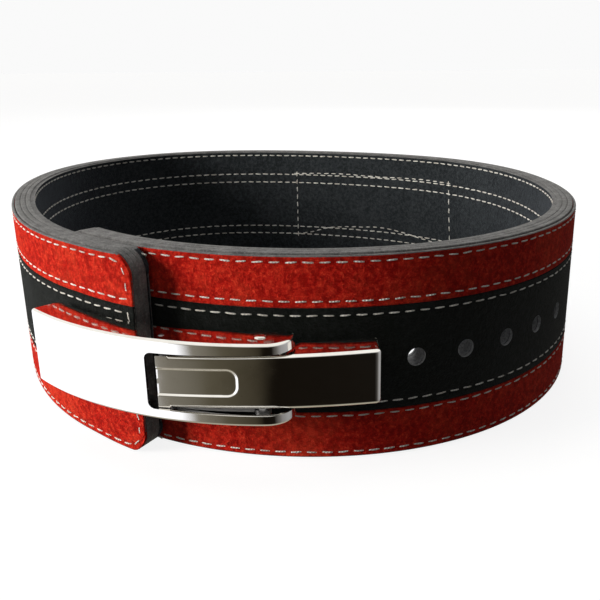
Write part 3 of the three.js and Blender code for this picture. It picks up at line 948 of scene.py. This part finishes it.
def lever_edge(along, side):
    """The lever sits a little high and leans, its left end higher than its nose."""
    share = min(max((-30 - along) / 68, 0), 1.6)
    return (0.6 + 1.3 * share) + side * (18.85 - 0.4 * share)


def slot_edge(along, side):
    share = min(max((-30 - along) / 50, 0), 1)
    return 14.6 - 0.8 * share if side > 0 else -13.3 + 1.1 * share


def on_arc(centre, radius, degrees):
    turn = math.radians(degrees)
    return centre[0] + radius * math.cos(turn), centre[1] + radius * math.sin(turn)


def lever_turn(along):
    return math.degrees(math.acos((along - lever_centre[0]) / lever_bend))


tip_turns = list(np.linspace(90 + lever_sweep, lever_turn(slot_end), 20))
arm_turns = list(np.linspace(lever_turn(slot_end + slot_corner), 90, 22))
columns = []
for turn in tip_turns + arm_turns:
    back = on_arc(lever_centre, lever_bend - lever_depth, turn)
    columns.append((on_arc(lever_centre, lever_bend, turn), back))
for turn in np.linspace(90, nose_end, 15)[1:]:
    front = on_arc(nose_centre, nose_radius, turn)
    back = on_arc(nose_centre, nose_radius, max(turn, nose_back_end))
    columns.append((front, (back[0], nose_top - lever_depth)))
corner_column = len(tip_turns) - 1


def lever_rows(along):
    low, high = slot_edge(along, -1), slot_edge(along, 1)
    return (
        lever_edge(along, -1), low, low + slot_corner, high - slot_corner, high, lever_edge(along, 1)
    )


lever_skin = Sheet()
for index in range(len(columns) - 1):
    (left, left_back), (right, right_back) = columns[index], columns[index + 1]
    left_rows, right_rows = lever_rows(left[0]), lever_rows(right[0])
    for edge in (0, 5):
        flange = [
            (*left, left_rows[edge]),
            (*left_back, left_rows[edge]),
            (*right_back, right_rows[edge]),
            (*right, right_rows[edge]),
        ]
        lever_skin.face(*(flange if edge == 0 else flange[::-1]))
    for row in range(5):
        if index < corner_column or row in (0, 4):
            lever_skin.face(
                (*left, left_rows[row]),
                (*right, right_rows[row]),
                (*right, right_rows[row + 1]),
                (*left, left_rows[row + 1]),
            )
left, right = columns[corner_column][0], columns[corner_column + 1][0]
for side in (-1, 1):
    corner = [(*left, slot_edge(left[0], side))]
    for turn in np.linspace(0, math.pi / 2, 7):
        along = left[0] + (right[0] - left[0]) * (1 - math.cos(turn))
        out = lever_centre[1] + math.sqrt(lever_bend**2 - (along - lever_centre[0]) ** 2)
        share = 1 - math.cos(turn)
        edge = slot_edge(left[0], side) * (1 - share) + slot_edge(right[0], side) * share
        height = edge + side * slot_corner * (math.sin(turn) - 1)
        corner.append((along, out, height))
    lever_skin.face(*(corner if side > 0 else corner[::-1]))
tip, tip_back = columns[0]
tip_rows = lever_rows(tip[0])
for low, high in zip(tip_rows, tip_rows[1:]):
    lever_skin.face((*tip_back, low), (*tip, low), (*tip, high), (*tip_back, high))
lever_fold = 1.4
lever = pressed("lever_polished", lever_skin, lever_fold, chrome)
fit(lever, "lever", "polished_chrome", "lever")


# The hook plate: a bowed steel plate, chromed, with flanges, a rolled right end and a pressed
# channel that runs from its knuckle. It hangs on the link pin, and its prongs hold it in the strap.
hook_bow, hook_depth, hook_left, hook_right, flange_left = 300, 9.2, -75.8, 20.5, -70
hook_centre = (-24, 19.2 - hook_bow)
channel_half, channel_end, channel_corner, channel_depth = 6.2, -41.2, 4.6, 0.6
row_limit = 12.5
flange_start_depth, flare_width = 2.6, 2.0
hook_fold, hook_end_fold = 1.3, 2.0


def hook_out(along, depth=0):
    return hook_centre[1] + math.sqrt((hook_bow - depth) ** 2 - (along - hook_centre[0]) ** 2)


def hook_half(along):
    """The plate widens a little to the right."""
    return 11.9 + 0.7 * (along - hook_left) / (hook_right - hook_left)


def flange_flare(along):
    """Past the lever's nose the flanges spread towards the strap."""
    return flare_width * float(smooth_step((along + 26) / 12))


def flange_depth(along):
    """The flanges start shallow beside the knuckle."""
    grown = float(smooth_step((along - flange_left) / 16))
    return flange_start_depth + (hook_depth - flange_start_depth) * grown


def hook_height(along, row):
    """The plate's rows lie level near the channel and follow its taper outside it."""
    share = float(smooth_step((abs(row) - 7) / 3))
    return row * (1 - share + share * hook_half(along) / row_limit)


def flange_back(along, row):
    return hook_height(along, row) + math.copysign(flange_flare(along), row)


def channel_sink(along, height):
    """How deep the channel is pressed in: a slot with a round right end and sloping sides."""
    x = max(0.0, along - (channel_end - channel_corner))
    y = max(0.0, abs(height) - (channel_half - channel_corner))
    inside = channel_corner - math.hypot(x, y)
    return channel_depth * float(smooth_step((inside + 0.2) / 0.65))


def hook_front(along, row):
    height = hook_height(along, row)
    return (along, hook_out(along, channel_sink(along, height)), height)


hook_skin = Sheet()
hook_columns = list(np.linspace(hook_left, flange_left, 8))
hook_columns += list(np.linspace(flange_left, -48, 9)[1:])
hook_columns += list(np.linspace(-48, -40.6, 19)[1:])
hook_columns += list(np.linspace(-40.6, hook_right - 3, 30)[1:]) + [hook_right]
half_rows = [0, 1] + list(np.linspace(1.5, 7, 14)) + [8.2, 10.2, row_limit]
hook_rows = [-x for x in reversed(half_rows)] + half_rows[1:]
for left, right in zip(hook_columns, hook_columns[1:]):
    for low, high in zip(hook_rows, hook_rows[1:]):
        hook_skin.face(
            hook_front(left, low), hook_front(right, low), hook_front(right, high), hook_front(left, high)
        )
    if left > flange_left - 0.01:
        for row in (-row_limit, row_limit):
            flange = [
                (left, hook_out(left), hook_height(left, row)),
                (left, hook_out(left, flange_depth(left)), flange_back(left, row)),
                (right, hook_out(right, flange_depth(right)), flange_back(right, row)),
                (right, hook_out(right), hook_height(right, row)),
            ]
            hook_skin.face(*(flange if row < 0 else flange[::-1]))
front, back = hook_out(hook_right), hook_out(hook_right, hook_depth)
for low, high in zip(hook_rows, hook_rows[1:]):
    low_back, high_back = hook_height(hook_right, low), hook_height(hook_right, high)
    if low == hook_rows[0]:
        low_back = flange_back(hook_right, low)
    if high == hook_rows[-1]:
        high_back = flange_back(hook_right, high)
    hook_skin.face(
        (hook_right, front, hook_height(hook_right, low)),
        (hook_right, back, low_back),
        (hook_right, back, high_back),
        (hook_right, front, hook_height(hook_right, high)),
    )
hook = pressed("hook_plate_polished", hook_skin, hook_fold, chrome, hook_right, hook_end_fold)
fit(hook, "hook", "polished_chrome", "hook_plate")


# The prongs and the knuckle: two turned steel prongs that sit in the strap's holes, and the short
# tube that the link pin goes through. All three are welded to the hook plate's back and chromed.
def turned(profile, foot, axis, across, sides=28, hexagon=()):
    """A closed turned shape: a profile of (radius, height) from the foot to the top."""
    other = np.cross(axis, across)
    points = []
    faces = []
    rings = []
    for index, (radius, height) in enumerate(profile):
        centre = np.array(foot) + np.array(axis) * height
        if radius == 0:
            rings.append([len(points)])
            points.append(centre)
            continue
        ring = []
        for i in range(sides):
            turn = 2 * math.pi * i / sides
            reach = radius
            if index in hexagon:
                off = (turn + math.pi / 6) % (math.pi / 3) - math.pi / 6
                reach = radius / math.cos(off)
            spoke = np.array(across) * math.cos(turn) + other * math.sin(turn)
            ring.append(len(points))
            points.append(centre + reach * spoke)
        rings.append(ring)
    for lower, upper in zip(rings, rings[1:]):
        for i in range(sides):
            k = (i + 1) % sides
            if len(lower) == 1:
                faces.append((lower[0], upper[k], upper[i]))
            elif len(upper) == 1:
                faces.append((lower[i], lower[k], upper[0]))
            else:
                faces.append((lower[i], lower[k], upper[k], upper[i]))
    return points, faces


def gathered(name, parts, material, body, slot_name, *nodes, degrees=35):
    """Several closed shapes as one piece."""
    points = []
    faces = []
    for part_points, part_faces in parts:
        first = len(points)
        points += list(part_points)
        faces += [tuple(first + i for i in face) for face in part_faces]
    made = new_object(name, points, faces)
    made.data.materials.append(material)
    smooth(made, degrees)
    fit(made, body, slot_name, *nodes)


upright_axis = np.array([0, 0, 1.0])
prong_radius, prong_reach, weld_depth = 2.6, 6.5, 1.1
prong_parts = []
for along in (-hole_pitch / 2 - 0.6, hole_pitch / 2 - 0.6):
    length = hook_out(along, weld_depth) + prong_reach
    profile = [(0, 0), (1.0, 0.12), (1.9, 0.6), (2.45, 1.3), (prong_radius, 2.2)]
    profile += [(prong_radius, length - 4), (2.9, length - 3), (3.6, length - 2), (3.6, length)]
    profile.append((0, length))
    prong_parts.append(turned(profile, at_buckle(along, -prong_reach, 0), seat_out, seat_along))
knuckle_half, knuckle_radius = 6.2, 2.75
knuckle_profile = [
    (0, -knuckle_half),
    (2.3, -knuckle_half),
    (knuckle_radius, 0.5 - knuckle_half),
    (knuckle_radius, knuckle_half - 0.5),
    (2.3, knuckle_half),
    (0, knuckle_half),
]
prong_parts.append(
    turned(knuckle_profile, at_buckle(link_pivot[0], link_pivot[1], 0), upright_axis, seat_along)
)
gathered("hook_prongs", prong_parts, chrome, "hook", "polished_chrome")


# The link pin: a plain steel pin through the hook plate's knuckle and both flanges of the lever,
# which hold it by its lightly peened ends.
pin_radius = 1.8
pin_low = lever_edge(link_pivot[0], -1) - 0.15
pin_high = lever_edge(link_pivot[0], 1) + 0.15
pin_profile = [
    (0, pin_low),
    (1.2, pin_low + 0.05),
    (pin_radius, pin_low + 0.4),
    (pin_radius, pin_high - 0.4),
    (1.2, pin_high - 0.05),
    (0, pin_high),
]
pin_part = turned(pin_profile, at_buckle(*link_pivot, 0), upright_axis, seat_along, 24)
gathered("link_pin_steel", [pin_part], steel, "lever", "plated_steel", "link_pin")


# The base plate: plated steel, cut and bent, held to the flap by two screws. A floor follows the
# flap's face, and two rails reach out to the ears where the lever turns.
rail_inner, rail_outer = 13.4, 15.8
rail_drop, ear_radius = 9.4, 3.8
floor_back, floor_front = -0.3, -1.9
base_lengths = np.linspace(strap_length - 38, strap_length - 4, 24)


def slab(outline, low, high):
    """An upright slab over a flat outline of (x, y) points."""
    count = len(outline)
    points = [(x, y, low) for x, y in outline] + [(x, y, high) for x, y in outline]
    faces = [(i, (i + 1) % count, count + (i + 1) % count, count + i) for i in range(count)]
    faces.append(tuple(range(count - 1, -1, -1)))
    faces.append(tuple(range(count, 2 * count)))
    return points, faces


def rail_outline():
    top = lever_bend - rail_drop
    bottom = top - ear_radius

    def turn_of(along):
        return math.degrees(math.acos((along - lever_centre[0]) / bottom))

    outline = []
    for turn in np.linspace(turn_of(-flap_setback - 30), 90, 44):
        outline.append(at_buckle(*on_arc(lever_centre, top, turn), 0)[:2])
    outline.append(at_buckle(lever_pivot[0], lever_pivot[1] - 0.9 * ear_radius, 0)[:2])
    for turn in np.linspace(turn_of(lever_pivot[0] - 10), turn_of(-flap_setback), 24):
        outline.append(at_buckle(*on_arc(lever_centre, bottom, turn), 0)[:2])
    for length in base_lengths[::-1]:
        outline.append(tuple(on_strap(length, 0, (floor_back + floor_front) / 2)[:2]))
    return outline


floor_outline = [tuple(on_strap(length, 0, floor_back)[:2]) for length in base_lengths[::-1]]
floor_outline += [tuple(on_strap(length, 0, floor_front)[:2]) for length in base_lengths]
base_parts = [slab(floor_outline, buckle_height - rail_outer, buckle_height + rail_outer)]
for side in (-1, 1):
    low, high = sorted((side * rail_inner, side * rail_outer))
    base_parts.append(slab(rail_outline()[::-1], buckle_height + low, buckle_height + high))
    ear_profile = [(0, low), (ear_radius, low), (ear_radius, high), (0, high)]
    base_parts.append(turned(ear_profile, at_buckle(*lever_pivot, 0), upright_axis, seat_along, 36))
gathered("base_plate_steel", base_parts, steel, "strap", "plated_steel", "base_plate")


# The pivot rivets: two short chromed steel studs with low domed heads. Each goes through a flange
# of the lever into one ear of the base plate, where its foot is flattened.
stud_radius, head_radius = 2.0, 2.8
foot_start, foot_end = 12.85, 13.3
for name, side in (("pivot_rivet_upper", 1), ("pivot_rivet_lower", -1)):
    seat = side * lever_edge(lever_pivot[0], side)
    profile = [(0, foot_start), (head_radius, foot_start), (head_radius, foot_end)]
    profile += [(stud_radius, foot_end + 0.05), (stud_radius, seat), (head_radius, seat + 0.02)]
    profile += [(2.75, seat + 0.3), (2.3, seat + 0.65), (1.4, seat + 0.88), (0, seat + 0.95)]
    part = turned(profile, at_buckle(*lever_pivot, 0), side * upright_axis, seat_along)
    gathered(name + "_head", [part], chrome, "strap", "polished_chrome", name)


# The base screws: two plated steel screws with low domed heads and a six-sided socket. They go
# through the base plate into the flap, one on each side of its middle.
screws_from_end, screw_spread, screw_seat = 21, 9, -2.2
for name, share in (("base_screw_1", -1), ("base_screw_2", 1)):
    place = strap_length - screws_from_end + share * screw_spread
    out = outward_at(place)
    across = np.array([-out[1], out[0], 0])
    profile = [(0, 0), (4.0, 0), (4.0, 0.5), (3.7, 1.1), (3.0, 1.6), (2.2, 1.8)]
    profile += [(1.45, 1.78), (1.4, 0.7), (0, 0.6)]
    foot = on_strap(place, buckle_height, screw_seat)
    part = turned(profile, foot, out, across, sides=36, hexagon=(6, 7))
    gathered(name + "_head", [part], steel, "strap", "plated_steel", name, degrees=30)
